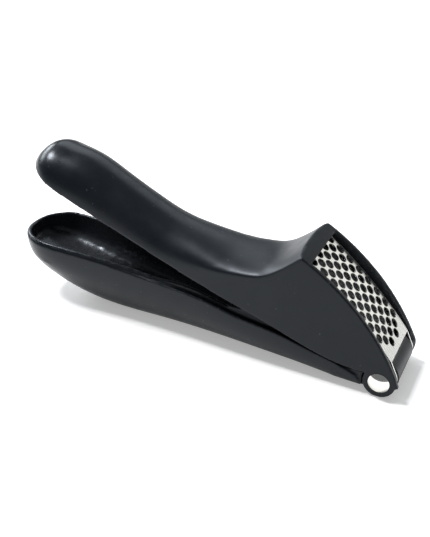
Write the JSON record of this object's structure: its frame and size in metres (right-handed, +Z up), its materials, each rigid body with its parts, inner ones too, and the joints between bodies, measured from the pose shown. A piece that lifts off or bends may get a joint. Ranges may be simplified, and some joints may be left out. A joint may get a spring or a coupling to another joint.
{
  "type": "garlic press",
  "caption": "Two-handle garlic press with hollow moulded handles, a removable curved perforated steel sieve, a pressing block and a riveted hinge.",
  "frame": {"origin": "centre of the bounding box, on the surface that the press lies on", "axes": "+X along the handles towards the hinge and sieve, +Y across the width along the hinge pin, +Z up"},
  "size_m": [0.1664, 0.0346, 0.0661],
  "materials": {
    "handle_plastic": "satin moulded",
    "plunger_plastic": "satin moulded",
    "sieve_steel": "fine brushed",
    "pin_steel": "polished"
  },
  "bodies": {
    "lower": {"lower_handle": "handle_plastic", "plunger": "plunger_plastic", "hinge_pin": "pin_steel", "pin_cap": "pin_steel"},
    "upper": {"upper_handle": "handle_plastic"},
    "sieve": {"sieve_insert": "sieve_steel"}
  },
  "joints": [
    {"name": "handle_hinge", "type": "hinge", "parent": "lower", "child": "upper", "pos_m": [0.07593, 0, 0.00635], "axis": [0, 1, 0], "range_deg": [0, 95]},
    {"name": "sieve_swing", "type": "hinge", "parent": "upper", "child": "sieve", "pos_m": [0.07593, 0, 0.00635], "axis": [0, 1, 0], "range_deg": [0, 65]}
  ]
}
